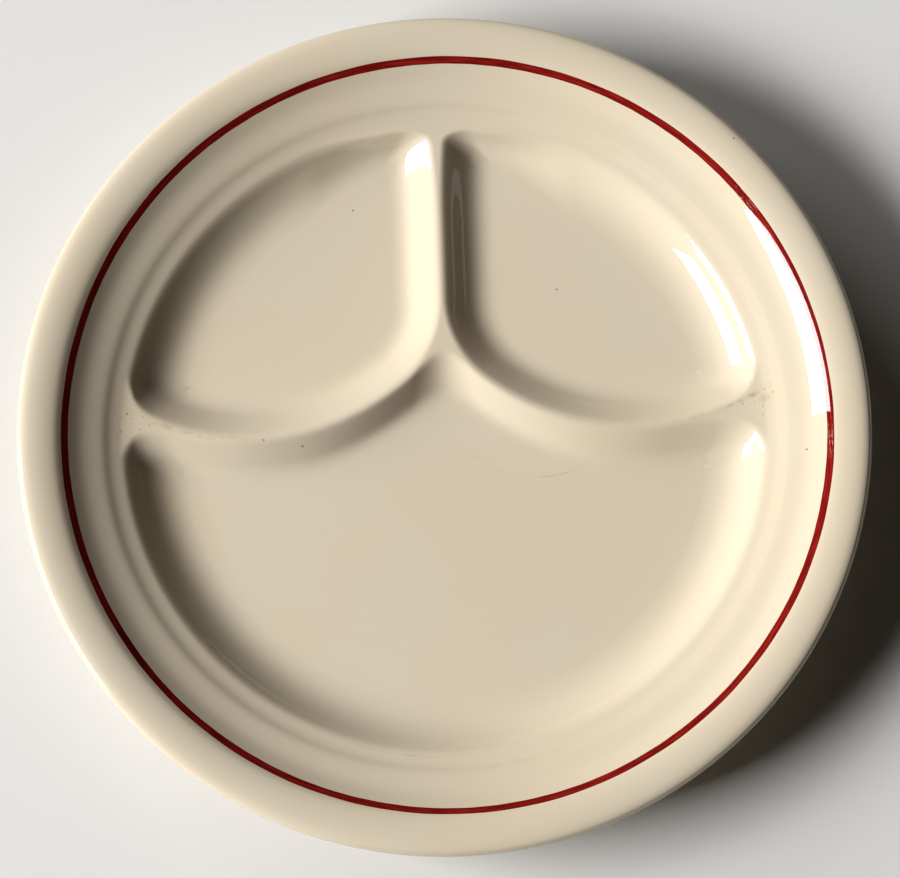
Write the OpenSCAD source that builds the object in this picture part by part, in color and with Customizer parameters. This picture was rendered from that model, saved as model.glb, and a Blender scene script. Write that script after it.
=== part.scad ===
// Divided compartment plate in heavy glazed china.
// The plate lies on its foot ring, the origin is at the middle of the table
// face of that ring, Z is up and the stem of the Y-shaped divider points to +Y.

/* [Plate] */
// Diameter across the rolled edge
plate_d = 248; // [242:1:256]
// Height from the table to the highest line of the rim
plate_h = 25; // [24:0.5:28]
// Thickness of the plate between a compartment floor and the underside
floor_t = 6; // [5:0.2:7]

/* [Rim] */
// Width of the gently sloped border, from the shoulder to the edge
rim_w = 13.5; // [12:0.5:15]
// Angle at which the outer half of the border falls towards the middle
rim_angle = 8; // [5:1:11]
// Width of the inner, steeper half of the border
border_w = 4.3; // [3.5:0.1:5.5]
// Angle at which the inner half falls
border_angle = 16; // [12:1:20]
// Radius that rounds the two halves of the border into each other
border_r = 25; // [10:1:30]
// Radius of the roll along the top of the edge
roll_r = 4.5; // [3.5:0.1:5]
// Radius of the roll along the bottom of the edge
under_roll_r = 2.4; // [1.6:0.1:3]
// Height of the upright strip between the two rolls
edge_flat = 0.4; // [0.2:0.1:1]
// Width of the back of the rim, between the bottom roll and the back cone
back_rim_w = 16; // [13:0.5:18]
// Angle of the back of the rim
back_rim_angle = 12; // [9:0.5:15]
// Rounding of the shoulder where the border meets the bank
shoulder_r = 6; // [3:0.5:8]

/* [Bank and step] */
// Width of the steep bank under the shoulder
bank_w = 7.3; // [6:0.1:9]
// Width of the ledge outside the compartments
ledge_w = 3.3; // [2.5:0.1:4.5]
// Slope of the ledge
ledge_angle = 20; // [12:1:24]
// Width of the small steep step outside the ledge
step_w = 3.1; // [2.5:0.1:4]
// Slope of the small step
step_angle = 32; // [26:1:38]
// Width of the flatter strip outside the step
cove_w = 3.6; // [2.5:0.1:4.5]
// Slope of the flatter strip
cove_angle = 19.5; // [14:0.5:24]

/* [Compartments] */
// Depth of the compartments below the crest of the divider
well_depth = 6.6; // [5.6:0.2:7.6]
// Run of the outer walls, from the top edge to the flat floor
wall_run = 14.4; // [12:0.2:16]
// Flat margin between the ledge and the wall edge
lip_w = 0.6; // [0.3:0.1:1]

/* [Divider] */
// Flat width of the crest
crest_w = 1.8; // [1.2:0.1:2.6]
// Slope just beside the crest
crest_angle = 18; // [12:1:24]
// Width of the shallow strip beside the crest
crest_strip = 1.3; // [0.8:0.1:1.8]
// Run of a flank above its rounding into the floor
flank_w = 8.2; // [7.4:0.2:9.4]
// Radius that rounds the flank into the floor
flank_fillet = 10; // [6:0.5:11]
// Radius that rounds the strip into the flank
brow_r = 4; // [2:0.5:6]
// Radius of each arm of the divider, along its crest
arm_r = 72; // [66:1:80]
// Distance from the stem to the lowest point of an arm
arm_low_x = 57; // [53:1:60]
// Height in plan of that lowest point above the middle of the plate
arm_low_y = 1.5; // [-2:0.5:6]
// Radius that joins the stem to each arm, along the crest
hub_r = 31; // [26:1:36]

/* [Corners] */
// Plan radius of an upper compartment beside the top of the stem
top_corner_r = 8; // [5:0.5:10]
// Plan radius of an upper compartment at the end of its arm
arm_corner_r = 6.5; // [4.5:0.5:9]
// Plan radius of the lower compartment at the ends of the arms
low_corner_r = 3.6; // [2.6:0.2:5]
// Plan radius of the lower compartment under the hub
apex_r = 8; // [5.5:0.5:11]
// Plan radius that no corner falls below on the way down
least_corner_r = 2.2; // [1.5:0.1:2.5]

/* [Foot ring] */
// Distance from the top edge of the outer walls in to the outside of the foot
foot_inset = 11.8; // [10:0.2:16]
// Width of the table face with its rounded edges
foot_w = 4.2; // [3.6:0.2:6]
// Height of the underside above the table
foot_h = 2; // [1.6:0.1:2.6]
// How far each side of the foot leans out over its height
foot_lean = 1.5; // [1:0.1:2]
// Rounding of the two edges of the table face
foot_edge_r = 1; // [0.6:0.1:1.2]
// Rounding where the foot meets the underside
foot_root_r = 2.2; // [1:0.1:3]
// Height above the table at which the glaze stops and the bare clay starts
dry_h = 0.9; // [0.7:0.05:1.1]

/* [Glaze and band] */
// Thickness of the glaze
glaze_t = 0.3; // [0.2:0.05:0.4]
// Width of the red line
band_w = 1.7; // [1:0.1:2.5]
// Distance from the edge of the plate to the middle of the red line
band_in = 12.8; // [11:0.2:13.4]
// Thickness of the red line, laid flush into the glaze
band_t = 0.12; // [0.08:0.01:0.15]

/* [Hidden] */

// Turn of one facet on a rounded section, and on the flank of a compartment
section_step = 8;
flank_step = 11;
// How far a cutter stands above the crest of the divider
overrun = 0.2;
// Share of a side that the rounding at one of its ends may take
round_share = 0.48;
// Share of its inset by which a compartment corner tightens on the way down
tighten_share = 0.4;
// Run of the lower side of the arms, as a share of the run of the upper side
low_flank_share = 0.86;
// Share of the well's radius at which the middle of each compartment lies
heart_share = 0.6;

plate_r = plate_d / 2;
well_r = plate_r - rim_w - bank_w - cove_w - step_w - ledge_w - lip_w;
foot_r = well_r - foot_inset;
floor_z = foot_h + floor_t;
crest_z = floor_z + well_depth;
half_crest = crest_w / 2;
middle = [0, 0];

// Points from the start of an arc up to its end, which is left to what follows
function arc(c, r, from, to, steps) = [for (k = [0 : steps - 1])
    let (turn = from + (to - from) * k / steps) c + r * [cos(turn), sin(turn)]];
function at_angle(c, r, turn) = c + r * [cos(turn), sin(turn)];
function angle_of(v) = atan2(v[1], v[0]);
function unit(v) = v / norm(v);
function right_of(v) = [v[1], -v[0]];
function joined(lists) = [for (list = lists) each list];
function backwards(list) = [for (i = [len(list) - 1 : -1 : 0]) list[i]];

// Rounding of a path of [x, y, radius] corners
function plan_of(c) = [c[0], c[1]];
function rounded_corner(a, p, b, r, step) =
    let (
        way_in = unit(p - a),
        way_out = unit(b - p),
        turn = acos(max(-1, min(1, way_in * way_out))),
        room = round_share * min(norm(p - a), norm(b - p)),
        cut = min(r * tan(turn / 2), room),
        side = right_of(way_in) * way_out > 0 ? 1 : -1,
        steps = max(1, ceil(turn / step))
    )
    cut == 0 ? [p]
    : let (bend = cut / tan(turn / 2))
    [for (k = [0 : steps])
        p - way_in * cut + bend * sin(turn * k / steps) * way_in
        + bend * (1 - cos(turn * k / steps)) * side * right_of(way_in)];
function rounded(path, step) = joined([for (i = [0 : len(path) - 1])
    i == 0 || i == len(path) - 1 ? [plan_of(path[i])]
    : rounded_corner(plan_of(path[i - 1]), plan_of(path[i]), plan_of(path[i + 1]),
                     path[i][2], step)]);

// Path that runs beside another, at a distance to its right
function beside(path, t) = [for (i = [0 : len(path) - 1])
    let (
        last = len(path) - 1,
        from = max(i, 1),
        to = min(i, last - 1),
        a = right_of(unit(path[from] - path[from - 1])),
        b = right_of(unit(path[to + 1] - path[to])),
        n = unit(a + b)
    )
    path[i] + n * t / (n * a)];

// Section of the plate, out along the face, round the edge and in along the back
roll_mid = [plate_r - roll_r, plate_h - roll_r];
under_mid = [plate_r - under_roll_r, roll_mid[1] - edge_flat];
border_start = at_angle(roll_mid, roll_r, 90 + rim_angle);
back_start = at_angle(under_mid, under_roll_r, back_rim_angle - 90);
ledge_start = [well_r + lip_w, crest_z];
ledge_end = ledge_start + ledge_w * [1, tan(ledge_angle)];
step_end = ledge_end + step_w * [1, tan(step_angle)];
cove_end = step_end + cove_w * [1, tan(cove_angle)];
border_from = plate_r - rim_w;
border_bend = border_start
    - (border_start[0] - border_from - border_w) * [1, tan(rim_angle)];
shoulder = border_bend - border_w * [1, tan(border_angle)];
cone_top = back_start - back_rim_w * [1, tan(back_rim_angle)];
dry_lean = foot_lean * dry_h / foot_h;

face_path = rounded([
    [0, crest_z, 0],
    [ledge_start[0], ledge_start[1], 0],
    [ledge_end[0], ledge_end[1], 2 * ledge_w],
    [step_end[0], step_end[1], 2 * step_w],
    [cove_end[0], cove_end[1], 4 * cove_w],
    [shoulder[0], shoulder[1], shoulder_r],
    [border_bend[0], border_bend[1], border_r],
    [border_start[0], border_start[1], 0]
], section_step);
edge_path = joined([
    arc(roll_mid, roll_r, 90 + rim_angle, 0, 12),
    arc(under_mid, under_roll_r, 0, back_rim_angle - 90, 8)
]);
back_path = rounded([
    [back_start[0], back_start[1], 0],
    [cone_top[0], cone_top[1], back_rim_w],
    [foot_r + foot_lean, foot_h, foot_root_r],
    [foot_r + dry_lean, dry_h, 0]
], section_step);
foot_path = rounded([
    [foot_r + dry_lean, dry_h, 0],
    [foot_r, 0, foot_edge_r],
    [foot_r - foot_w, 0, foot_edge_r],
    [foot_r - foot_w - dry_lean, dry_h, 0]
], section_step);
recess_path = rounded([
    [foot_r - foot_w - dry_lean, dry_h, 0],
    [foot_r - foot_w - foot_lean, foot_h, foot_root_r],
    [0, foot_h, 0]
], section_step);

// Stretch of the face that carries the red line, and the face either side of it
band_from = plate_r - band_in - band_w / 2;
band_to = band_from + band_w;
function on_face(r) = [for (i = [0 : len(face_path) - 2])
    let (a = face_path[i], b = face_path[i + 1])
    if (a[0] < r && b[0] >= r) a + (b - a) * (r - a[0]) / (b[0] - a[0])][0];
function face_between(from, to) = [for (p = face_path) if (p[0] > from && p[0] < to) p];
band_path = joined([[on_face(band_from)], face_between(band_from, band_to), [on_face(band_to)]]);
face_inside = joined([[face_path[0]], face_between(0, band_from)]);
face_outside = face_between(band_to, border_start[0]);

// Section of a flank: inset from the crest and height over it, on the way down
flank_path = rounded([
    [-overrun / tan(crest_angle), overrun, 0],
    [crest_strip, -crest_strip * tan(crest_angle), brow_r],
    [flank_w, -well_depth, flank_fillet],
    [flank_w + flank_fillet, -well_depth, 0]
], flank_step);
flank_run = flank_path[len(flank_path) - 2][0];
wall_share = wall_run / flank_run;

// Lines that the crest follows in plan
arm_mid = [arm_low_x, arm_low_y + arm_r];
hub_mid = [hub_r, arm_mid[1] - sqrt(pow(arm_r - hub_r, 2) - pow(arm_low_x - hub_r, 2))];
hub_turn = angle_of(hub_mid - arm_mid);
function tightened(r, inset) = max(least_corner_r, r - tighten_share * inset);
// Meeting point of two circles, to the right of the way from one to the other
function meeting(a, ra, b, rb) =
    let (
        gap = norm(b - a),
        along = (gap * gap + ra * ra - rb * rb) / (2 * gap)
    )
    a + along * unit(b - a) + sqrt(ra * ra - along * along) * right_of(unit(b - a));

// Outline of the right-hand upper compartment, clockwise from the top of the stem
function upper_ring(inset) =
    let (
        x = half_crest + inset,
        out_r = well_r - wall_share * inset,
        r1 = tightened(top_corner_r, inset),
        r2 = tightened(arm_corner_r, inset),
        c1 = [x + r1, sqrt(pow(out_r - r1, 2) - pow(x + r1, 2))],
        c2 = meeting(middle, out_r - r2, arm_mid, arm_r - x - r2),
        t2 = angle_of(c2 - arm_mid)
    )
    joined([
        arc(c1, r1, 180, angle_of(c1), 6),
        arc(middle, out_r, angle_of(c1), angle_of(c2), 12),
        arc(c2, r2, angle_of(c2), t2, 5),
        arc(arm_mid, arm_r - x, t2, hub_turn, 10),
        arc(hub_mid, hub_r - x, hub_turn, -180, 7),
        [[x, hub_mid[1]]]
    ]);

// Right half of the outline of the lower compartment, clockwise from the hub
function lower_half(inset) =
    let (
        x = half_crest + low_flank_share * inset,
        out_r = well_r - wall_share * inset,
        r1 = tightened(apex_r, inset),
        r2 = tightened(low_corner_r, inset),
        c1 = [0, hub_mid[1] - sqrt(pow(hub_r + x + r1, 2) - pow(hub_r, 2))],
        c2 = meeting(middle, out_r - r2, arm_mid, arm_r + x + r2),
        t1 = angle_of(hub_mid - c1),
        t2 = angle_of(c2 - arm_mid)
    )
    joined([
        arc(c1, r1, 90, t1, 4),
        arc(hub_mid, hub_r + x, t1 - 180, hub_turn, 2),
        arc(arm_mid, arm_r + x, hub_turn, t2, 10),
        arc(c2, r2, t2 + 180, angle_of(c2), 7),
        arc(middle, out_r, angle_of(c2), -90, 15)
    ]);
function lower_ring(inset) =
    let (half = lower_half(inset))
    joined([
        half,
        [[0, -well_r + wall_share * inset]],
        backwards([for (i = [1 : len(half) - 1]) [-half[i][0], half[i][1]]])
    ]);

// Solid lofted from a stack of rings, each clockwise from above, whose flat
// ends are fans round a point that sees the whole outline
module loft(rings, heart) {
    sides = len(rings[0]);
    last = len(rings) - 1;
    crown = sides * len(rings);
    function id(j, i) = j * sides + i % sides;
    walls = [for (j = [0 : last - 1], i = [0 : sides - 1]) each [
        [id(j, i + 1), id(j, i), id(j + 1, i)],
        [id(j, i + 1), id(j + 1, i), id(j + 1, i + 1)]
    ]];
    top = [for (i = [0 : sides - 1]) [crown, id(0, i), id(0, i + 1)]];
    bottom = [for (i = [0 : sides - 1]) [crown + 1, id(last, i + 1), id(last, i)]];
    hearts = [[heart[0], heart[1], rings[0][0][2]], [heart[0], heart[1], rings[last][0][2]]];
    polyhedron(points = joined([joined(rings), hearts]), faces = joined([top, walls, bottom]));
}
function raised(ring, z) = [for (p = ring) [p[0], p[1], z]];

// The three compartments as solids, grown by the thickness of the glaze on them
module compartments(coat) {
    path = beside(flank_path, coat);
    levels = [for (i = [0 : len(path) - 2]) path[i]];
    upper = [for (p = levels) raised(upper_ring(p[0]), crest_z + p[1])];
    lower = [for (p = levels) raised(lower_ring(p[0]), crest_z + p[1])];
    upper_heart = well_r * heart_share * unit(arm_mid);
    loft(upper, upper_heart);
    mirror([1, 0, 0]) loft(upper, upper_heart);
    loft(lower, [0, -well_r * heart_share]);
}

module turned(section) {
    rotate_extrude($fn = 120) polygon(section);
}

// Fired clay, bare on the foot ring and under the glaze everywhere else
module china_body() {
    outside = joined([face_path, [for (i = [1 : len(edge_path) - 1]) edge_path[i]], back_path]);
    color([0.87, 0.82, 0.72])
    difference() {
        turned(joined([
            beside(outside, glaze_t),
            foot_path,
            beside(recess_path, glaze_t)
        ]));
        compartments(glaze_t);
    }
}

// Glaze over the face, the edge and the back, down to the dry part of the foot
module face_glaze() {
    outside = joined([face_outside, edge_path, back_path]);
    inner = beside(back_path, glaze_t);
    color([0.93, 0.89, 0.79])
    difference() {
        turned(joined([
            face_inside,
            [band_path[0]],
            beside(band_path, band_t),
            [band_path[len(band_path) - 1]],
            outside,
            [inner[len(inner) - 1]],
            [[foot_r - foot_w / 2, foot_h + floor_t / 2], [0, foot_h + floor_t / 2]]
        ]));
        compartments(0);
        china_body();
    }
}

// Separate pool of glaze inside the foot ring
module foot_glaze() {
    color([0.90, 0.86, 0.76])
    turned(joined([recess_path, backwards(beside(recess_path, glaze_t))]));
}

// Line of ceramic colour, laid flush into the glaze
module red_band() {
    color([0.55, 0.09, 0.08])
    turned(joined([band_path, backwards(beside(band_path, band_t))]));
}

china_body();
face_glaze();
foot_glaze();
red_band();
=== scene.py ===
import math

import bpy
import numpy as np
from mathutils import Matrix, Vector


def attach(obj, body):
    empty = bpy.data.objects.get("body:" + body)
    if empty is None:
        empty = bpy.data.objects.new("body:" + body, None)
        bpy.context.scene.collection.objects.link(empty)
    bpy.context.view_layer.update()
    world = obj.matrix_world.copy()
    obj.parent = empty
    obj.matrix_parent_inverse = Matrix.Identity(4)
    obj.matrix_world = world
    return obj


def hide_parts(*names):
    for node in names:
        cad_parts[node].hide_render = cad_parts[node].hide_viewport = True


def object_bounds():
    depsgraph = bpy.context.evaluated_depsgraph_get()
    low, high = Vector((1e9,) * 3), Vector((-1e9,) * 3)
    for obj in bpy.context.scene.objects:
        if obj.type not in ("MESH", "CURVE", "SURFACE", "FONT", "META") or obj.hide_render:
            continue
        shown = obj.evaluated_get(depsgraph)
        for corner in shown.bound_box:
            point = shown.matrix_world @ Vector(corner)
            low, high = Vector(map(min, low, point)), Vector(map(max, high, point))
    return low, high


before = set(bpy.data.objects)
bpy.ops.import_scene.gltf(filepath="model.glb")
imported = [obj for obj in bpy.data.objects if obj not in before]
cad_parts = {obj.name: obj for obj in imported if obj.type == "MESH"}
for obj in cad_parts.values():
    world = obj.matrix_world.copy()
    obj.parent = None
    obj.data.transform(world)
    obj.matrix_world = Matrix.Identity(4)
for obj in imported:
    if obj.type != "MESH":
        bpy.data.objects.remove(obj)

# Divided plate in heavy ivory china. Sizes in the dictionaries are millimetres, as the potter
# would give them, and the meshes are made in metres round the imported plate.
mm = 0.001
cadLow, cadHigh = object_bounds()


# Shape of the face

rim = {
    "edgeRadius": (cadHigh.x - cadLow.x) / 2 / mm,
    "height": cadHigh.z / mm,
    "rollRadius": 2.1,        # roll along the top of the edge
    "rollStart": 24,          # outward slope of the face where it meets that roll, in degrees
    "underRollRadius": 2.4,   # roll along the bottom of the edge
    "edgeFlat": 2.2,          # upright strip between the rolls
    "floorHeight": 7.4,       # of the wells
    # slope of the face in degrees at each radius, from a floor out over the top of the rim
    "slopes": [(75, 0), (78, 3), (80, 6), (82, 10.5), (84, 17), (86, 25), (88, 32), (90, 38),
               (91.2, 43.5), (92.3, 41), (93.4, 33), (94.2, 24), (94.8, 18.5), (96, 18.5),
               (97, 21), (98, 25.5), (98.8, 28), (99.6, 25.5), (100.2, 21.5), (101, 19.2),
               (102, 18.5), (103, 19), (104, 20), (105, 22), (106, 25.5), (107, 29.5), (108, 31.7),
               (109, 32.7), (110, 33), (111, 33), (111.9, 32), (112.5, 28.5), (113.1, 22),
               (113.7, 18), (114.3, 15.5), (115, 13.2), (116, 10.6), (117, 8.2), (118, 6),
               (119, 3.2), (120.2, 0), (121, -4), (122, -12), (123, -24)],
    "bendBlur": 0.3,          # softens the bends between those slopes
}
rollTurn = math.radians(rim["rollStart"])
rim["faceEnd"] = rim["edgeRadius"] - rim["rollRadius"] * (1 - math.sin(rollTurn))

divider = {
    "crestHeight": 13.7,
    "offset": (0.5, -1.2),    # the whole divider sits a little off the middle
    "bendMiddle": (31.0, 41.8),
    "bendRadius": 31.0,       # bend from the stem into an arm
    "armMiddle": (57.0, 73.5),
    "armRadius": 72.0,
    "meetingAngle": -129.4,   # where the bend runs into the arm, in degrees
    "stemToArm": (14, 40),    # the stem's sizes turn into the arm's between these distances aside
    # slope of a flank in degrees at each distance from the crest line
    "slopes": [(0, 0), (0.8, 15), (1.6, 28), (2.3, 32.5), (4, 34.5), (6, 34.5), (7.4, 34),
               (8.5, 30), (9.6, 22), (10.7, 14.5), (12, 7.5), (13.6, 2), (15, 0)],
    "bendBlur": 0.3,
    # slope of the crest where it climbs to the ledge, at each radius
    "easeSlopes": [(72, 0), (80, 2), (86, 4.5), (90, 7), (93, 10.5), (94.2, 15), (95, 20)],
    "easeBlur": 0.5,
    "flareStart": 66.0,       # the crests widen from this radius out to the ledge
    "flares": {"stem": 1.6, "arm": 1.0, "underLeft": 4.0, "underRight": 7.0},
}
ledgeStart = divider["easeSlopes"][-1][0]

wells = {
    "lowerFlank": 0.86,       # width of the flanks of the lower well, against the upper ones
    "hubFlank": 0.69,         # and beside the hub
    "hubReach": (44, 12),     # the one passes into the other between these distances from the stem
    # radius of each corner at its top edge, and the rounding left at its floor
    "corners": {"stem": 9.0, "arm": 9.0, "under": 12.5},
    "floorRounding": 3.5,
    "cornerSoftness": 3.0,    # how gently the rounding stops shrinking on the way down
    "apexCorner": 13.6,       # rounding under the hub
    "stemWallPull": 0.9,      # the walls stand this much closer and steeper beside the stem
    "stemWallInset": 2.2,     # and start this far inside the ledge there
    "waviness": 0.035,        # slow unevenness of the face
    "waves": [(13, 0.6), (17, -1.1), (19, 2.3)],   # scale and phase across, along and diagonally
    "diagonalWave": 0.6,
    "waveFade": 20.0,         # the waves fade out over this distance from the edge
}


def smoothBetween(value, start, end):
    share = np.clip((value - start) / (end - start), 0, 1)
    return share * share * (3 - 2 * share)


def softLeast(a, b, reach):
    near = np.clip(reach - np.abs(a - b), 0, None) / reach
    return np.minimum(a, b) - near * near * reach / 4


def roundLeast(a, b, radius):
    # the lesser of two distances, with the corner between them rounded in plan: by this radius
    # at the top edge, and by less the further down the walls it is, which a few passes settle
    middle, gap = (a + b) / 2, np.abs(a - b)
    least = middle - gap / 2
    found = least
    for _ in range(7):
        spare = radius - wells["floorRounding"] - found
        bend = wells["floorRounding"] + (spare + np.hypot(spare, wells["cornerSoftness"])) / 2
        inside = middle - bend + np.sqrt(np.clip(2 * bend ** 2 - gap ** 2, 0, None)) / 2
        found = np.where(gap < bend, inside, least)
    return found


def climbOf(slopes, blur, end, step=0.05):
    # places along a slope, and the height climbed at each, with the bends blurred
    places = np.arange(0, end + step / 2, step)
    angles = np.interp(places, *zip(*slopes))
    reach = np.linspace(-3, 3, 2 * round(3 * blur / step) + 1)
    share = np.exp(-reach ** 2 / 2)
    padded = np.pad(angles, len(reach) // 2, mode="reflect", reflect_type="odd")
    angles = np.convolve(padded, share / share.sum(), mode="valid")
    return places, np.cumsum(np.tan(np.radians(angles))) * step


rimRadii, rimClimb = climbOf(rim["slopes"], rim["bendBlur"], rim["edgeRadius"])
flankRuns, flankFall = climbOf(divider["slopes"], divider["bendBlur"], divider["slopes"][-1][0])
flankFall = np.maximum.accumulate(flankFall + np.linspace(0, 1e-6, len(flankFall)))
print("rim climbs", round(rimClimb.max(), 2), "and a flank", round(flankFall[-1], 2), "mm unscaled")
rimClimb *= (rim["height"] - rim["floorHeight"]) / rimClimb.max()
flankFall *= (divider["crestHeight"] - rim["floorHeight"]) / flankFall[-1]


def rimHeight(radius):
    return rim["floorHeight"] + np.interp(radius, rimRadii, rimClimb)


def flankDrop(run):
    # fall below the crest at a distance from its middle line
    return np.interp(run, flankRuns, flankFall)


easeRadii, easeClimb = climbOf(divider["easeSlopes"], divider["easeBlur"], ledgeStart)
easeClimb *= (float(rimHeight(ledgeStart)) - divider["crestHeight"]) / easeClimb[-1]


def crestHeight(radius):
    # height of the divider's crest, where it eases into the ledge of the rim
    return np.maximum(rimHeight(radius),
                      divider["crestHeight"] + np.interp(radius, easeRadii, easeClimb))


def wallRun(radius, pull=0.0, inset=0.0):
    # distance from a crest at which its flank is as deep as the outer wall at this radius
    radius = radius + inset
    radius = np.where(radius < ledgeStart, radius - pull * (ledgeStart - radius), radius)
    drop = crestHeight(radius) - rimHeight(radius)
    floorStart = rim["slopes"][0][0]
    return np.interp(drop, flankFall, flankRuns) + np.clip(floorStart - radius, 0, None)


def crestGap(x, y):
    # distance from the right-hand crest line, above zero on its upper side
    bendX, bendY = divider["bendMiddle"]
    armX, armY = divider["armMiddle"]
    turn = math.radians(divider["meetingAngle"])
    past = math.cos(turn) * (y - bendY) - math.sin(turn) * (x - bendX)
    onArm = divider["armRadius"] - np.hypot(x - armX, y - armY)
    onBend = divider["bendRadius"] - np.hypot(x - bendX, y - bendY)
    return np.where(past > 0, onArm, np.where(y > bendY, x, onBend))


def upperRun(x, y, radius, flare):
    # distance from the crest or the wall, whichever is nearer, in the two upper wells
    flares, corners = divider["flares"], wells["corners"]
    onArm = smoothBetween(np.abs(x), *divider["stemToArm"])
    onStem = 1 - onArm
    widened = flare * (flares["stem"] + (flares["arm"] - flares["stem"]) * onArm)
    flank = crestGap(np.abs(x), y) - widened
    wall = wallRun(radius, wells["stemWallPull"] * onStem, wells["stemWallInset"] * onStem)
    return roundLeast(flank, wall, corners["stem"] + (corners["arm"] - corners["stem"]) * onArm)


def lowerRun(x, y, radius, flare):
    # and in the lower well
    flares = divider["flares"]
    flank = softLeast(-crestGap(x, y), -crestGap(-x, y), wells["apexCorner"])
    flank -= flare * np.where(x < 0, flares["underLeft"], flares["underRight"])
    nearHub = smoothBetween(np.abs(x), *wells["hubReach"])
    flank /= wells["lowerFlank"] + (wells["hubFlank"] - wells["lowerFlank"]) * nearHub
    return roundLeast(flank, wallRun(radius), wells["corners"]["under"])


def unevenness(x, y, radius):
    across, along, diagonal = [np.sin(place / scale + phase)
                               for place, (scale, phase) in zip((x, y, x + y), wells["waves"])]
    fade = np.clip((rim["faceEnd"] - radius) / wells["waveFade"], 0, 1)
    return wells["waviness"] * (across * along + wells["diagonalWave"] * diagonal) * fade


def faceHeight(x, y):
    radius = np.hypot(x, y)
    flare = (radius - divider["flareStart"]) / (ledgeStart - divider["flareStart"])
    flare = np.clip(flare, 0, 1) ** 2
    x, y = x - divider["offset"][0], y - divider["offset"][1]
    drop = flankDrop(upperRun(x, y, radius, flare)) + flankDrop(lowerRun(x, y, radius, flare))
    return crestHeight(radius) - drop + unevenness(x, y, radius)


# Grid over the face, closer together where the surface bends

grid = {
    "angles": 560,
    "rows": 104,
    "centreRadius": 6.0,      # inside this the floor is flat
    "angleBias": 9.0,         # how strongly bends draw the spokes together
    "rowBias": 9.0,           # and the rows
    # samples on which the bends are measured, and how many of them the measure is blurred over
    "angleSamples": 2880,
    "angleRadii": (24, 100, 2.0),
    "angleBlur": 8,
    "rowStep": 0.25,
    "rowBlurs": (5, 4),
}


def blurAlong(values, width, axis, wrap=False):
    reach = np.arange(-3 * width, 3 * width + 1)
    share = np.exp(-reach ** 2 / (2 * width ** 2))
    pad = [(0, 0)] * values.ndim
    pad[axis] = (3 * width, 3 * width)
    padded = np.pad(values, pad, mode="wrap" if wrap else "edge")
    blurred = [np.take(padded, range(k, k + values.shape[axis]), axis) * w
               for k, w in enumerate(share / share.sum())]
    return sum(blurred)


def spread(weights, places, count):
    # count places, closer together where the weight is high
    total = np.concatenate([[0], np.cumsum((weights[1:] + weights[:-1]) / 2)])
    return np.interp(np.linspace(0, total[-1], count), total, places)


def spokeAngles():
    angles = np.linspace(0, 2 * np.pi, grid["angleSamples"] + 1)
    radii = np.arange(*grid["angleRadii"])
    turn, radius = np.meshgrid(angles[:-1], radii, indexing="ij")
    height = faceHeight(radius * np.cos(turn), radius * np.sin(turn))
    side = radius * (angles[1] - angles[0])
    bend = np.abs(np.roll(height, 1, 0) - 2 * height + np.roll(height, -1, 0)) / side ** 2
    weight = 1 + grid["angleBias"] * blurAlong(bend.mean(1), grid["angleBlur"], 0, wrap=True)
    weight = np.append(weight, weight[0])
    return spread(weight, angles, grid["angles"] + 1)[:-1]


def faceRows(angles):
    # radius of each row on each spoke, from the centre out to the edge roll
    count = round((rim["faceEnd"] - grid["centreRadius"]) / grid["rowStep"])
    radii = np.linspace(grid["centreRadius"], rim["faceEnd"], count)
    turn, radius = np.meshgrid(angles, radii, indexing="ij")
    height = faceHeight(radius * np.cos(turn), radius * np.sin(turn))
    bend = np.abs(np.gradient(np.gradient(height, radii, axis=1), radii, axis=1))
    outward, around = grid["rowBlurs"]
    bend = blurAlong(blurAlong(bend, outward, 1), around, 0, wrap=True)
    weight = 1 + grid["rowBias"] * bend
    return np.array([spread(row, radii, grid["rows"]) for row in weight]).T


def faceNormals(x, y, step=0.02):
    slopeX = (faceHeight(x + step, y) - faceHeight(x - step, y)) / (2 * step)
    slopeY = (faceHeight(x, y + step) - faceHeight(x, y - step)) / (2 * step)
    normals = np.stack([-slopeX, -slopeY, np.ones_like(x)], axis=-1)
    return normals / np.linalg.norm(normals, axis=-1, keepdims=True)


def facePoints(radii, angles, sink=0.0):
    # points of the face, or of a surface that runs at a depth under it
    x, y = radii * np.cos(angles), radii * np.sin(angles)
    return np.stack([x, y, faceHeight(x, y)], axis=-1) - sink * faceNormals(x, y)


# Outlines that are turned round the middle: the edge, the back and the foot

back = {
    "rimWidth": 16.0,         # back of the rim, from the bottom roll to the back cone
    "rimAngle": 12.0,
    "rimBend": 16.0,          # rounding between the two
    "coneRadius": 95.0,       # a place on the cone, and how steeply the cone falls to it
    "coneFall": 0.519,
    "footRadius": 80.8,       # outside of the foot on the table
    "footWidth": 4.2,
    "footHeight": 2.0,
    "footLean": 1.5,          # how far each side of the foot leans out over its height
    "footEdge": 1.0,          # rounding of its two table edges
    "footRoot": 2.2,          # rounding where it meets the underside
    "dryHeight": 0.9,         # the glaze stops here
    "recessRadii": (60, 30, 8),   # rings of the flat inside the foot
}


def arcPoints(middle, radius, start, end, steps):
    turns = np.radians(np.linspace(start, end, steps + 1))
    return [(middle[0] + radius * math.cos(t), middle[1] + radius * math.sin(t)) for t in turns]


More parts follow.
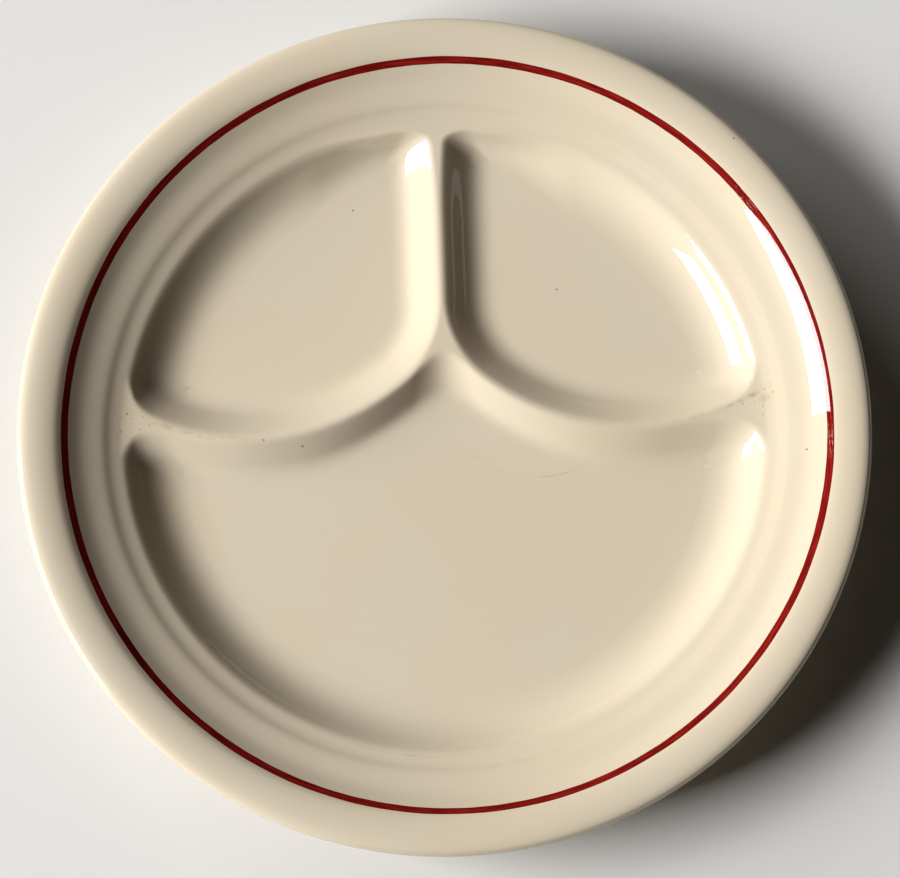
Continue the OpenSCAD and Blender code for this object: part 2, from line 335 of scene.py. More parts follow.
def roundedPath(corners, step=7.0):
    # path through (radius, height, rounding) corners
    path = [np.array(corners[0][:2], float)]
    for before, corner, after in zip(corners, corners[1:], corners[2:]):
        p, reach = np.array(corner[:2], float), corner[2]
        wayIn, wayOut = p - np.array(before[:2], float), np.array(after[:2], float) - p
        room = 0.48 * min(np.hypot(*wayIn), np.hypot(*wayOut))
        wayIn, wayOut = wayIn / np.hypot(*wayIn), wayOut / np.hypot(*wayOut)
        turn = math.acos(max(-1.0, min(1.0, float(wayIn @ wayOut))))
        cut = min(reach * math.tan(turn / 2), room)
        if cut == 0:
            path.append(p)
            continue
        bend = cut / math.tan(turn / 2)
        sideways = wayOut - (wayIn @ wayOut) * wayIn
        sideways /= np.hypot(*sideways)
        steps = max(2, math.ceil(math.degrees(turn) / step))
        for k in range(steps + 1):
            part = turn * k / steps
            path.append(p - wayIn * cut + bend * math.sin(part) * wayIn
                        + bend * (1 - math.cos(part)) * sideways)
    path.append(np.array(corners[-1][:2], float))
    return [tuple(p) for p in path]


def besidePath(path, gap):
    # path that runs beside another, to its right
    points = np.array(path)
    ways = np.diff(points, axis=0)
    ways /= np.hypot(ways[:, 0], ways[:, 1])[:, None]
    rights = np.stack([ways[:, 1], -ways[:, 0]], 1)
    first, last = np.vstack([rights[:1], rights]), np.vstack([rights, rights[-1:]])
    middle = first + last
    middle /= np.hypot(middle[:, 0], middle[:, 1])[:, None]
    reach = gap / (middle * first).sum(1)
    return [tuple(p) for p in points + middle * reach[:, None]]


faceEndHeight = float(faceHeight(rim["faceEnd"], 0.0))
rollMiddle = (rim["edgeRadius"] - rim["rollRadius"],
              faceEndHeight - rim["rollRadius"] * math.cos(rollTurn))
underMiddle = (rim["edgeRadius"] - rim["underRollRadius"], rollMiddle[1] - rim["edgeFlat"])
edgePath = (arcPoints(rollMiddle, rim["rollRadius"], 90 - rim["rollStart"], 0, 9)
            + arcPoints(underMiddle, rim["underRollRadius"], 0, back["rimAngle"] - 90, 7))
edgeEnd = edgePath[-1]
coneTop = (edgeEnd[0] - back["rimWidth"],
           edgeEnd[1] - back["rimWidth"] * math.tan(math.radians(back["rimAngle"])))
dryLean = back["footLean"] * back["dryHeight"] / back["footHeight"]
footInner = back["footRadius"] - back["footWidth"]
backPath = roundedPath([
    (*edgeEnd, 0),
    ((edgeEnd[0] + coneTop[0]) / 2, (edgeEnd[1] + coneTop[1]) / 2, 0),
    (*coneTop, back["rimBend"]),
    (back["coneRadius"], coneTop[1] - (coneTop[0] - back["coneRadius"]) * back["coneFall"], 0),
    (back["footRadius"] + back["footLean"], back["footHeight"], back["footRoot"]),
    (back["footRadius"] + dryLean, back["dryHeight"], 0)])
footPath = roundedPath([
    (back["footRadius"] + dryLean, back["dryHeight"], 0),
    (back["footRadius"], 0, back["footEdge"]),
    (footInner, 0, back["footEdge"]),
    (footInner - dryLean, back["dryHeight"], 0)], step=12)
recessPath = roundedPath([
    (footInner - dryLean, back["dryHeight"], 0),
    (footInner - back["footLean"], back["footHeight"], back["footRoot"]),
    *[(radius, back["footHeight"], 0) for radius in back["recessRadii"]]])


def turned(path, angles):
    return [np.stack([r * np.cos(angles), r * np.sin(angles), np.full(len(angles), float(z))], 1)
            for r, z in path]


def bridge(a, countA, b, countB):
    # faces between two rings, where one may have twice the points of the other or be a tip
    j = np.arange(max(countA, countB) if 1 in (countA, countB) else min(countA, countB))
    k = (j + 1) % len(j)
    if countA == countB:
        return np.stack([a + j, b + j, b + k, a + k], 1).tolist()
    if countA == 1:
        return np.stack([a + 0 * j, b + j, b + k], 1).tolist()
    if countB == 1:
        return np.stack([a + j, b + 0 * j, a + k], 1).tolist()
    if countB > countA:
        m, n = 2 * j + 1, (2 * j + 2) % countB
        return (np.stack([a + j, b + 2 * j, b + m], 1).tolist()
                + np.stack([a + j, b + m, a + k], 1).tolist()
                + np.stack([a + k, b + m, b + n], 1).tolist())
    m, n = 2 * j + 1, (2 * j + 2) % countA
    return (np.stack([a + 2 * j, b + j, a + m], 1).tolist()
            + np.stack([a + m, b + j, b + k], 1).tolist()
            + np.stack([a + m, b + k, a + n], 1).tolist())


def ringPiece(name, rings, closed=False, normals=None):
    # one closed mesh from rings of points, each anticlockwise from above
    starts = np.cumsum([0] + [len(ring) for ring in rings])
    nextRings = list(range(1, len(rings))) + ([0] if closed else [])
    faces = []
    for i, k in enumerate(nextRings):
        faces += bridge(starts[i], len(rings[i]), starts[k], len(rings[k]))
    mesh = bpy.data.meshes.new(name)
    mesh.from_pydata((np.vstack(rings) * mm).tolist(), [], faces)
    mesh.shade_smooth()
    if normals is not None:
        # the face's own normals give clean reflections, and zero leaves a point as it is
        rest = np.zeros((len(mesh.vertices) - len(normals), 3))
        mesh.normals_split_custom_set_from_vertices(np.vstack([normals, rest]).tolist())
    piece = bpy.data.objects.new(name, mesh)
    bpy.context.scene.collection.objects.link(piece)
    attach(piece, "root")
    return piece


def tip(height):
    return np.array([[0.0, 0.0, height]])


spokes = spokeAngles()
rows = faceRows(spokes)
halfSpokes, halfRows = spokes[::2], rows[:, ::2]
halfRows = np.vstack([halfRows[:-1:2], halfRows[-1:]])
floorHeight = float(faceHeight(0.0, 0.0))
print("face grid:", rows.shape[0], "rows on", rows.shape[1], "spokes")


# Clay under the glaze, with the bare foot

layers = {
    "glaze": 0.30,            # thickness of the glaze over the clay
    "seat": 0.02,             # room between the two
    "lip": 0.08,              # how far the glaze's lower edge rounds out past its two sides
}


def makeClay():
    sink = layers["glaze"] + layers["seat"]
    top = facePoints(halfRows, halfSpokes, sink)
    rings = [tip(floorHeight - sink)] + list(top)
    outside = besidePath(edgePath + backPath[1:], sink)
    rings += turned(outside[1:], halfSpokes)
    rings += turned(footPath, halfSpokes)
    rings += turned(besidePath(recessPath, sink), halfSpokes)
    rings.append(tip(back["footHeight"] + sink))
    piece = ringPiece("plateClay", rings)
    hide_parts("china_body")
    return piece


# Glaze over the face, round the edge and down the back to the foot

def makeFaceGlaze():
    outer = edgePath + backPath[1:]
    inner = besidePath(outer, layers["glaze"])
    nose = ((outer[-1][0] + inner[-1][0]) / 2, (outer[-1][1] + inner[-1][1]) / 2 - layers["lip"])
    rings = [tip(floorHeight)] + list(facePoints(rows, spokes))
    rings += turned(outer[1:] + [nose], spokes)
    rings += turned(inner[:0:-1], halfSpokes)
    rings += list(facePoints(halfRows, halfSpokes, layers["glaze"])[::-1])
    rings.append(tip(floorHeight - layers["glaze"]))
    normals = faceNormals(rows * np.cos(spokes), rows * np.sin(spokes)).reshape(-1, 3)
    piece = ringPiece("faceGlaze", rings, normals=np.vstack([[(0, 0, 1)], normals]))
    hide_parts("face_glaze")
    return piece


# Pool of glaze inside the foot ring

def makeFootGlaze():
    hidden = besidePath(recessPath, layers["glaze"])
    rings = [tip(hidden[-1][1])] + turned(hidden[::-1], halfSpokes)
    rings += turned(recessPath, halfSpokes) + [tip(recessPath[-1][1])]
    piece = ringPiece("footGlaze", rings)
    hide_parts("foot_glaze")
    return piece


# Line of red laid on the shoulder of the rim with a brush, a little off the middle

redLine = {
    "inFromEdge": 12.85,
    "width": 2.1,
    "offMiddle": (0.85, 0.0),
    "unevenWidth": 0.05,      # share by which the width wanders
    "unevenPlace": 0.05,      # and how far the line does
    # waves of a hand round the rim: how many in a turn, and how large
    "wobble": [(3, 0.5), (7, 0.35), (16, 0.3), (37, 0.3), (83, 0.22)],
    # height over the glaze across the line, from its inner to its outer side
    "across": [(-1.0, -0.06), (-0.9, 0.012), (-0.35, 0.03), (0.35, 0.03), (0.9, 0.012),
               (1.0, -0.06), (0.7, -0.14), (-0.7, -0.14)],
}
redRadius = rim["edgeRadius"] - redLine["inFromEdge"]


def handWobble(turns, seed):
    return sum(size * np.sin(count * turns + seed * (k + 1.7))
               for k, (count, size) in enumerate(redLine["wobble"]))


def makeRedLine():
    offX, offY = redLine["offMiddle"]
    width = redLine["width"] / 2 * (1 + redLine["unevenWidth"] * handWobble(spokes, 1.3))
    middle = redRadius + redLine["unevenPlace"] * handWobble(spokes, 4.1)
    rings, normals = [], []
    for share, lift in redLine["across"]:
        x = offX + (middle + share * width) * np.cos(spokes)
        y = offY + (middle + share * width) * np.sin(spokes)
        rings.append(np.stack([x, y, faceHeight(x, y) + lift], 1))
        normals.append(faceNormals(x, y) * (lift > 0))
    piece = ringPiece("redLine", rings, closed=True, normals=np.vstack(normals))
    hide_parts("red_band")
    return piece


# Finishes, laid out in millimetres on the plate

def addNode(tree, kind, inputs=None, **settings):
    made = tree.nodes.new("ShaderNode" + kind)
    for key, value in settings.items():
        setattr(made, key, value)
    for key, value in (inputs or {}).items():
        if isinstance(value, bpy.types.NodeSocket):
            tree.links.new(value, made.inputs[key])
        else:
            made.inputs[key].default_value = value
    return made


def mathOf(tree, kind, *values):
    return addNode(tree, "Math", dict(enumerate(values)), operation=kind).outputs[0]


def bothOf(tree, *shares):
    found = shares[0]
    for share in shares[1:]:
        found = mathOf(tree, "MULTIPLY", found, share)
    return found


def mostOf(tree, *shares):
    found = shares[0]
    for share in shares[1:]:
        found = mathOf(tree, "MAXIMUM", found, share)
    return found


def distanceTo(tree, value, middle):
    return mathOf(tree, "ABSOLUTE", mathOf(tree, "SUBTRACT", value, middle))


def ramp(tree, value, start, end, low=0.0, high=1.0, kind="SMOOTHSTEP"):
    inputs = {"Value": value, "From Min": start, "From Max": end, "To Min": low, "To Max": high}
    return addNode(tree, "MapRange", inputs, interpolation_type=kind).outputs["Result"]


def fadeOut(tree, value, start, end):
    return ramp(tree, value, start, end, 1, 0)


def blendColour(tree, share, low, high):
    return addNode(tree, "Mix", {0: share, 6: low, 7: high}, data_type="RGBA").outputs[2]


def tinted(tree, colour, share, strength, tint):
    return blendColour(tree, mathOf(tree, "MULTIPLY", share, strength), colour, tint)


def noise(tree, place, wavelength, detail=2.0, rough=0.5):
    inputs = {"Vector": place, "Scale": 1 / wavelength, "Detail": detail, "Roughness": rough}
    return addNode(tree, "TexNoise", inputs).outputs["Fac"]


def patches(tree, place, size, detail=2.0, rough=0.5):
    # noise of a wavelength, and the levels between which it goes from 0 to 1
    wavelength, low, high = size
    return ramp(tree, noise(tree, place, wavelength, detail, rough), low, high)


def newFinish(name):
    finish = bpy.data.materials.new(name)
    finish.use_nodes = True
    tree = finish.node_tree
    shader = tree.nodes["Principled BSDF"]
    spot = addNode(tree, "TexCoord").outputs["Object"]
    place = addNode(tree, "VectorMath", {0: spot, 3: 1 / mm}, operation="SCALE").outputs[0]
    return finish, tree, shader, place


def bumpFrom(tree, height, distance=mm):
    inputs = {"Strength": 1.0, "Distance": distance, "Height": height}
    return addNode(tree, "Bump", inputs).outputs[0]


def setShader(tree, shader, colour, bump, values):
    tree.links.new(colour, shader.inputs["Base Color"])
    tree.links.new(bump, shader.inputs["Normal"])
    for key, value in values.items():
        shader.inputs[key].default_value = value


def specks(tree, place, spacing, size, share):
    # small round marks, in a share of the cells, mixed in size
    cells = addNode(tree, "TexVoronoi", {"Vector": place, "Scale": 1 / spacing})
    pick = addNode(tree, "SeparateColor", {0: cells.outputs["Color"]})
    reach = ramp(tree, pick.outputs[0], 1 - share, 1, 0, size / spacing, kind="LINEAR")
    gap = mathOf(tree, "SUBTRACT", reach, cells.outputs["Distance"])
    return ramp(tree, gap, 0, 0.3 * size / spacing)


def stretched(tree, place, turn, scale):
    rotated = addNode(tree, "VectorRotate", {"Vector": place, "Angle": math.radians(turn)},
                      rotation_type="Z_AXIS").outputs[0]
    return addNode(tree, "VectorMath", {0: rotated, 1: scale}, operation="MULTIPLY").outputs[0]


def flattened(tree, place, offset=(0, 0)):
    inputs = {0: place, 1: (1, 1, 0), 2: (-offset[0], -offset[1], 0)}
    return addNode(tree, "VectorMath", inputs, operation="MULTIPLY_ADD").outputs[0]


def lengthOf(tree, vector):
    return addNode(tree, "VectorMath", {0: vector}, operation="LENGTH").outputs["Value"]


def nearTo(tree, place, spots, size, soft):
    # 1 inside a round spot of this size about each place, 0 outside
    least = None
    for x, y in spots:
        gap = lengthOf(tree, flattened(tree, place, (x, y)))
        least = gap if least is None else mathOf(tree, "MINIMUM", least, gap)
    return fadeOut(tree, least, size - soft, size + soft)


ivory = {
    "colour": (0.695, 0.605, 0.462, 1),
    "warm": (0.70, 0.597, 0.445, 1),
    "drift": (38, 0.35, 0.65),            # wavelength and levels of the drift between the two
    "thin": (0.60, 0.49, 0.345, 1),       # where the glaze thins over an edge
    "thinEdge": (122.2, 124.0),           # radii over which it thins towards the edge
    "thinCrest": (0.5, 1.5),              # distances from the crest line of an arm
    "thinPatches": (0.5, 0.5),            # how much of the thinning is patchy, and how much even
    "crestThinning": 0.35,    # against that on the edge
    "thinning": 0.55,
    # the thin crest of an arm starts at these distances from the stem, below these y, and ends at
    # these radii
    "armStart": (10, 16),
    "armTop": (16, 20),
    "armEnd": (92, 96),
    "unevenness": (7, 0.004),             # wavelength and height
    "shader": {"Roughness": 0.6, "Specular IOR Level": 0.0, "Coat Weight": 1.0,
               "Coat Roughness": 0.02},
}

# What use has left in the glaze, at the places it has on the plate, and a painted shade along the
# groove in the ledge.
# A reach is the size of a round mark and the softness of its edge, and a strength the share of the
# mark's own colour.

wearAndShade = {
    # brown of the stains, also used for the painted shade along the groove in the ledge
    "stainAndShade": (0.37, 0.245, 0.085, 1),
    "patches": (4.5, 0.42, 0.68),         # wavelength and levels of the patches in a stain
    "runs": [(-77.0, 3.4), (-67.0, 1.2), (76.0, 3.2), (87.0, 6.0)],   # along the crests
    "runReach": (7.5, 3.0),
    "runWidth": (0.2, 1.1),
    "runScale": (0.55, 1.2, 1),
    "runGrain": (2.2, 0.45, 0.68),
    "runStrength": 0.55,
    "blotch": (93.6, 6.6),
    "blotchReach": (2.0, 1.6),
    "blotchStrength": 0.6,    # against the runs
    # faint brown lines, each an arc: its middle and radius, then about which x it runs, half its
    # length, and the y above which it fades
    "arcs": [((0.0, 0.0), 95.0, -6.0, 26.0, -50.0), ((27.4, 16.5), 29.2, 24.0, 22.0, 0.0)],
    "arcWidth": (0.1, 0.4),
    "arcFades": (8, 10),      # at its ends, and at its top
    "arcStrength": 0.25,
    "ends": [(-91.6, 8.6), (91.0, 6.8)],  # specks where the arms meet the ledge
    "endReach": (6.0, 2.5),
    # spacing, size, share of the cells, and strength
    "endSpecks": [(2.1, 0.62, 0.6, 1.0), (1.1, 0.36, 0.5, 0.7)],
    "endStrength": 0.85,
    "groove": 98.7,           # radius of the groove in the ledge, along which a little shade is painted
    "grooveWidth": (0.2, 1.3),
    "groovePatches": (0.6, 0.5),
    "grooveStrength": 0.09,
    "speck": (0.13, 0.075, 0.035, 1),
    "chips": [(-25.0, 70.0), (34.8, 43.8), (88.0, 83.5), (-52.9, -0.2), (-41.6, -2.0),
              (105.1, -9.3)],
    "chipReach": (0.3, 0.12),
    "pits": (8, 0.16, 0.12),  # spacing, size and share of the cells
    "pitStrength": 0.65,
    "pitDepth": 0.05,
    "scratch": (0.53, 0.46, 0.36, 1),
    "scratches": [(12, 26, 0.16), (-34, 20, 0.14), (71, 24, 0.15)],   # direction, length, width
    "scratchLevels": (0.735, 0.76),       # of the noise that draws them
    "scratchPatches": (17, 0.52, 0.62),
    "scratchedRadius": (74, 84),
    "scratchedHeight": (8.4, 9.4),
    "scratchStrength": 0.30,
    "scratchDepth": 0.006,
    "pins": [(88.0, 0.0), (-44.0, 76.2), (-44.0, -76.2)],   # kiln pins on the underside
    "pinReach": (1.0, 0.25),
    "pinHeight": (7.2, 8.0),
    "pinStrength": 0.8,
    "pinDepth": 0.25,
}

bareClay = {
    "colour": (0.60, 0.51, 0.39, 1),
    "grey": (0.42, 0.37, 0.31, 1),
    "grain": (0.6, 0.35, 0.7),            # wavelength, and levels between the two colours
    "grainHeight": 0.03,
    "rubbed": (0.27, 0.24, 0.21, 1),      # on the foot, where it has slid over tables
    "rubbedHeight": (0.02, 0.35),
    "rubbedPatches": (5, 0.35, 0.7),
    "rubbedStrength": 0.7,
    "grit": (1.3, 0.18, 0.4),             # spacing, size and share of the cells
    "shader": {"Roughness": 0.85},
}


def measuresOf(tree, place):
    # distances and shares that the marks in the glaze go by
    x, y, z = addNode(tree, "SeparateXYZ", {0: place}).outputs
    normal = addNode(tree, "TexCoord").outputs["Normal"]
    facing = addNode(tree, "SeparateXYZ", {0: normal}).outputs[2]
    offX, offY = divider["offset"]
    aside = distanceTo(tree, x, offX)
    mirrored = addNode(tree, "CombineXYZ", {0: aside, 1: mathOf(tree, "SUBTRACT", y, offY)})
    armGap = lengthOf(tree, flattened(tree, mirrored.outputs[0], divider["armMiddle"]))
    return {
        "x": x,
        "y": y,
        "z": z,
        "radius": lengthOf(tree, flattened(tree, place)),
        "aside": aside,       # from the stem's crest line
        "crestGap": distanceTo(tree, armGap, divider["armRadius"]),
        "onFace": ramp(tree, facing, 0, 0.2),
        "patchy": patches(tree, place, wearAndShade["patches"], detail=4, rough=0.6),
    }


def toneOf(tree, place, at):
    # slow drifts of tone, and thin glaze on the edge of the rim and on the crests
    tone = patches(tree, place, ivory["drift"], detail=3)
    colour = blendColour(tree, tone, ivory["colour"], ivory["warm"])
    onArm = bothOf(tree, fadeOut(tree, at["crestGap"], *ivory["thinCrest"]),
                   fadeOut(tree, at["radius"], *ivory["armEnd"]),
                   ramp(tree, at["aside"], *ivory["armStart"]),
                   fadeOut(tree, at["y"], *ivory["armTop"]), at["onFace"])
    edge = ramp(tree, at["radius"], *ivory["thinEdge"])
    thin = mostOf(tree, mathOf(tree, "MULTIPLY", onArm, ivory["crestThinning"]), edge)
    thin = bothOf(tree, thin, mathOf(tree, "MULTIPLY_ADD", at["patchy"], *ivory["thinPatches"]))
    return tinted(tree, colour, thin, ivory["thinning"], ivory["thin"])


def withStains(tree, place, at, colour):
    # brown runs along the crests, a blotch, and faint lines along the lower well and a bend
    drawn = stretched(tree, place, 0, wearAndShade["runScale"])
    runs = bothOf(tree, nearTo(tree, place, wearAndShade["runs"], *wearAndShade["runReach"]),
                  fadeOut(tree, at["crestGap"], *wearAndShade["runWidth"]), at["onFace"],
                  patches(tree, drawn, wearAndShade["runGrain"], detail=4, rough=0.7))
    blotch = bothOf(tree, nearTo(tree, place, [wearAndShade["blotch"]], *wearAndShade["blotchReach"]),
                    at["patchy"], at["onFace"])
    runs = mostOf(tree, runs, mathOf(tree, "MULTIPLY", blotch, wearAndShade["blotchStrength"]))
    colour = tinted(tree, colour, runs, wearAndShade["runStrength"], wearAndShade["stainAndShade"])
    endFade, topFade = wearAndShade["arcFades"]
    arcs = []
    for middle, radius, about, half, top in wearAndShade["arcs"]:
        gap = distanceTo(tree, lengthOf(tree, flattened(tree, place, middle)), radius)
        along = distanceTo(tree, at["x"], about)
        arcs.append(bothOf(tree, fadeOut(tree, gap, *wearAndShade["arcWidth"]),
                           fadeOut(tree, along, half - endFade, half),
                           fadeOut(tree, at["y"], top - topFade, top), at["patchy"], at["onFace"]))
    colour = tinted(tree, colour, mostOf(tree, *arcs), wearAndShade["arcStrength"], wearAndShade["stainAndShade"])

    # brown specks where the arms meet the ledge
    ends = nearTo(tree, place, wearAndShade["ends"], *wearAndShade["endReach"])
    crowd = mostOf(tree, *[mathOf(tree, "MULTIPLY", specks(tree, place, *kind), strength)
                           for *kind, strength in wearAndShade["endSpecks"]])
    return tinted(tree, colour, bothOf(tree, crowd, ends, at["onFace"]), wearAndShade["endStrength"],
                  wearAndShade["stainAndShade"])


# painted shade: a patchy darker ring along the groove in the ledge
def grooveShade(tree, at):
    gap = distanceTo(tree, at["radius"], wearAndShade["groove"])
    patchy = mathOf(tree, "MULTIPLY_ADD", at["patchy"], *wearAndShade["groovePatches"])
    return bothOf(tree, fadeOut(tree, gap, *wearAndShade["grooveWidth"]), patchy, at["onFace"])


def cutleryScratches(tree, place, at):
    floors = bothOf(tree, fadeOut(tree, at["radius"], *wearAndShade["scratchedRadius"]),
                    fadeOut(tree, at["z"], *wearAndShade["scratchedHeight"]), at["onFace"])
    scratches = []
    for turn, length, wide in wearAndShade["scratches"]:
        drawn = stretched(tree, place, turn, (1 / length, 1 / wide, 0.1))
        line = patches(tree, drawn, (1, *wearAndShade["scratchLevels"]), detail=1, rough=0.4)
        rotated = stretched(tree, place, turn, (1, 1, 1))
        here = patches(tree, rotated, wearAndShade["scratchPatches"])
        scratches.append(bothOf(tree, line, here, floors))
    return mostOf(tree, *scratches)


def dressIvory():
    finish, tree, shader, place = newFinish("ivoryGlaze")
    at = measuresOf(tree, place)
    colour = toneOf(tree, place, at)
    colour = withStains(tree, place, at, colour)
    pits = specks(tree, place, *wearAndShade["pits"])
    chips = bothOf(tree, nearTo(tree, place, wearAndShade["chips"], *wearAndShade["chipReach"]), at["onFace"])
    dark = mostOf(tree, pits, chips)
    colour = tinted(tree, colour, dark, wearAndShade["pitStrength"], wearAndShade["speck"])
    # painted shade along the groove in the ledge, in the brown of the stains
    colour = tinted(tree, colour, grooveShade(tree, at), wearAndShade["grooveStrength"], wearAndShade["stainAndShade"])
    scratches = cutleryScratches(tree, place, at)
    colour = tinted(tree, colour, scratches, wearAndShade["scratchStrength"], wearAndShade["scratch"])
    pins = bothOf(tree, nearTo(tree, place, wearAndShade["pins"], *wearAndShade["pinReach"]),
                  fadeOut(tree, at["z"], *wearAndShade["pinHeight"]))
    colour = tinted(tree, colour, pins, wearAndShade["pinStrength"], bareClay["grey"])

    wavelength, rise = ivory["unevenness"]
    height = mathOf(tree, "MULTIPLY", noise(tree, place, wavelength), rise)
    for mark, depth in ((dark, wearAndShade["pitDepth"]), (pins, wearAndShade["pinDepth"]),
                        (scratches, wearAndShade["scratchDepth"])):
        height = mathOf(tree, "SUBTRACT", height, mathOf(tree, "MULTIPLY", mark, depth))
    bump = bumpFrom(tree, height)
    setShader(tree, shader, colour, bump, ivory["shader"])
    tree.links.new(bump, shader.inputs["Coat Normal"])
    return finish


red = {
    "colour": (0.152, 0.004, 0.003, 1),
    "thin": (0.30, 0.016, 0.010, 1),
    "hairs": (0.12, 3.2),     # how often the brush hairs change along the line and across it
    "hairLevels": (0.38, 0.72),
    "thinMiddle": (0.35, 0.95, 1, 0.35),  # thin strokes fade from its middle out to its sides
    "laidTwice": (0.115, 0.003, 0.003, 1),
    "laidTwiceAt": 214.0,     # direction in degrees where the brush stroke ends over its start
    "laidTwiceReach": (7.0, 1.2),
    "wornAt": [-3.5, 36.0],   # directions where flecks have worn off
    "wornReach": (6.0, 4.0),  # half length of those places, and how softly they end
    "wornShare": 0.17,
    "fleckLevels": (0.76, 0.80),
    "fleckStrength": 0.8,
    "hairHeight": 0.006,
    "shader": {"Roughness": 0.6, "Specular IOR Level": 0.0, "Coat Weight": 0.7,
               "Coat Roughness": 0.02},
}


def redSpots(angles):
    turns = [math.radians(angle) for angle in angles]
    return [(redRadius * math.cos(turn), redRadius * math.sin(turn)) for turn in turns]


def dressRed():
    finish, tree, shader, place = newFinish("redLineColour")
    flat = flattened(tree, place, redLine["offMiddle"])
    across = mathOf(tree, "SUBTRACT", lengthOf(tree, flat), redRadius)
    around = addNode(tree, "VectorMath", {0: flat}, operation="NORMALIZE").outputs[0]
    around = addNode(tree, "VectorMath", {0: around, 3: redRadius}, operation="SCALE").outputs[0]
    aroundX, aroundY, _ = addNode(tree, "SeparateXYZ", {0: around}).outputs
    along, aside = red["hairs"]
    hairs = addNode(tree, "CombineXYZ", {0: mathOf(tree, "MULTIPLY", aroundX, along),
                                         1: mathOf(tree, "MULTIPLY", aroundY, along),
                                         2: mathOf(tree, "MULTIPLY", across, aside)}).outputs[0]
    strokes = patches(tree, hairs, (1, *red["hairLevels"]), detail=3, rough=0.55)
    side = mathOf(tree, "ABSOLUTE", across)
    strokes = bothOf(tree, strokes, ramp(tree, side, *red["thinMiddle"]))
    colour = blendColour(tree, strokes, red["colour"], red["thin"])
    overlap = nearTo(tree, place, redSpots([red["laidTwiceAt"]]), *red["laidTwiceReach"])
    colour = blendColour(tree, overlap, colour, red["laidTwice"])

    # flecks worn through to the glaze
    worn = nearTo(tree, place, redSpots(red["wornAt"]), *red["wornReach"])
    worn = ramp(tree, worn, 0, 1, 0, red["wornShare"])
    grit = noise(tree, hairs, 0.45, detail=4, rough=0.7)
    flecks = ramp(tree, mathOf(tree, "ADD", grit, worn), *red["fleckLevels"])
    colour = tinted(tree, colour, flecks, red["fleckStrength"], ivory["colour"])
    height = mathOf(tree, "MULTIPLY", noise(tree, hairs, 0.6, detail=3), red["hairHeight"])
    setShader(tree, shader, colour, bumpFrom(tree, height), red["shader"])
    return finish


def dressClay():
    finish, tree, shader, place = newFinish("bareClay")
    wavelength, *levels = bareClay["grain"]
    grain = noise(tree, place, wavelength, detail=4, rough=0.7)
    colour = blendColour(tree, ramp(tree, grain, *levels), bareClay["colour"], bareClay["grey"])
    height = addNode(tree, "SeparateXYZ", {0: place}).outputs[2]
    rubbed = bothOf(tree, fadeOut(tree, height, *bareClay["rubbedHeight"]),
                    patches(tree, place, bareClay["rubbedPatches"], detail=4))
    colour = tinted(tree, colour, rubbed, bareClay["rubbedStrength"], bareClay["rubbed"])
    grit = specks(tree, place, *bareClay["grit"])
    colour = blendColour(tree, grit, colour, wearAndShade["speck"])
    bump = bumpFrom(tree, grain, bareClay["grainHeight"] * mm)
    setShader(tree, shader, colour, bump, bareClay["shader"])
    return finish


ivoryFinish = dressIvory()
for piece, finish in ((makeClay(), dressClay()), (makeFaceGlaze(), ivoryFinish),
                      (makeFootGlaze(), ivoryFinish), (makeRedLine(), dressRed())):
    piece.data.materials.append(finish)
    print("made", piece.name, "with", len(piece.data.polygons), "faces")


# Table, light and camera, in metres

studio = {
    "floorSize": 6.0,
    "floorColour": (0.74, 0.73, 0.71, 1),
    "floorRoughness": 0.9,
    "fill": (0.012, 0.010, 0.007, 1),
    "backdrop": (0.86, 0.86, 0.85, 1),
}

# direction of each lamp from the plate and its rise in degrees, and its shift along its own length
lamps = {
    "window": {"turn": 186.5, "rise": 30.2, "distance": 4.5, "shift": 0.0, "size": (2.68, 1.4),
               "power": 358.0, "mirrored": True},
    # weak soft light from the upper left, kept out of the reflections
    "sky": {"turn": 135.0, "rise": 23.0, "distance": 4.5, "shift": 0.0, "size": (2.6, 1.6),
            "power": 62.0, "mirrored": False},
    # dim strip low on the other side, seen only as a line in the glaze
    "card": {"turn": 4.0, "rise": 20.9, "distance": 2.0, "shift": 1.6, "size": (3.8, 0.03),
             "power": 0.26, "mirrored": True},
}


def makeFloor():
    half = studio["floorSize"] / 2
    mesh = bpy.data.meshes.new("studioFloor")
    mesh.from_pydata([(-half, -half, 0), (half, -half, 0), (half, half, 0), (-half, half, 0)], [],
                     [(0, 1, 2, 3)])
    floor = bpy.data.objects.new("studioFloor", mesh)
    bpy.context.scene.collection.objects.link(floor)
    finish = bpy.data.materials.new("paleFloor")
    finish.use_nodes = True
    shader = finish.node_tree.nodes["Principled BSDF"]
    shader.inputs["Base Color"].default_value = studio["floorColour"]
    shader.inputs["Roughness"].default_value = studio["floorRoughness"]
    mesh.materials.append(finish)


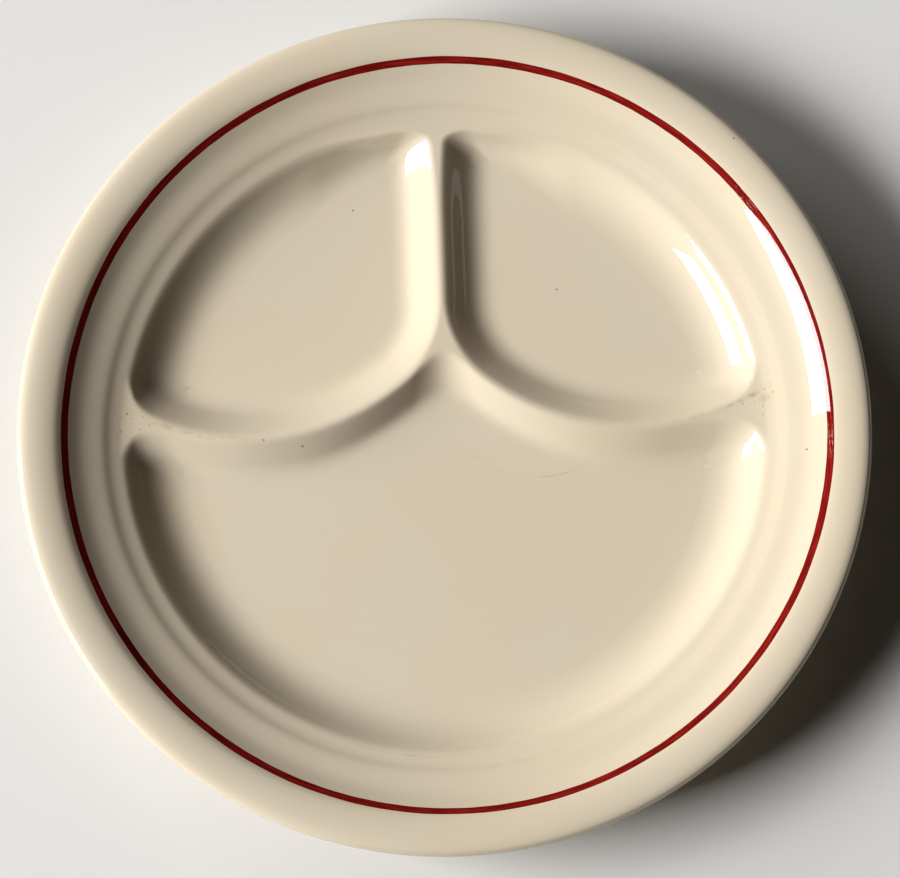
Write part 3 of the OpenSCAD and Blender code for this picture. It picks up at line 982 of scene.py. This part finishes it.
def makeLamp(name, turn, rise, distance, shift, size, power, mirrored):
    lamp = bpy.data.lights.new("studio" + name.title(), "AREA")
    lamp.shape = "RECTANGLE"
    lamp.size, lamp.size_y = size
    lamp.energy = power
    turn, rise = math.radians(turn), math.radians(rise)
    way = (math.cos(rise) * math.cos(turn), math.cos(rise) * math.sin(turn), math.sin(rise))
    along = (-math.sin(turn), math.cos(turn), 0)
    light = bpy.data.objects.new(lamp.name, lamp)
    light.location = [distance * a + shift * b for a, b in zip(way, along)]
    light.rotation_euler = (math.pi / 2 - rise, 0, turn + math.pi / 2)
    light.visible_glossy = mirrored
    bpy.context.scene.collection.objects.link(light)


def makeWorld():
    world = bpy.data.worlds.new("studioWorld")
    bpy.context.scene.world = world
    world.use_nodes = True
    tree = world.node_tree
    seen = addNode(tree, "LightPath").outputs["Is Camera Ray"]
    colour = blendColour(tree, seen, studio["fill"], studio["backdrop"])
    tree.links.new(colour, tree.nodes["Background"].inputs["Color"])


camera = {
    "tilt": 11.31,            # lean from straight above, towards the lower edge of the picture
    "roll": -1.9,             # the plate lies turned by this in the picture
    "distance": 1.0,
    "lens": 137.6,
    "aim": (0.0016, -0.0029, 0.02),
}


def makeCamera():
    tilt, roll = math.radians(camera["tilt"]), math.radians(camera["roll"])
    data = bpy.data.cameras.new("plateCamera")
    data.lens = camera["lens"]
    lookout = bpy.data.objects.new("plateCamera", data)
    side, rise = -math.sin(tilt) * camera["distance"], math.cos(tilt) * camera["distance"]
    aimX, aimY, aimZ = camera["aim"]
    x, y = aimX, aimY + side
    lookout.location = (x * math.cos(roll) - y * math.sin(roll),
                        x * math.sin(roll) + y * math.cos(roll), aimZ + rise)
    lookout.rotation_euler = (tilt, 0, roll)
    bpy.context.scene.collection.objects.link(lookout)
    bpy.context.scene.camera = lookout


makeFloor()
for name, lamp in lamps.items():
    makeLamp(name, **lamp)
makeWorld()
makeCamera()
bpy.context.scene.view_settings.view_transform = "Standard"
print("studio and camera set")

bpy.context.view_layer.update()
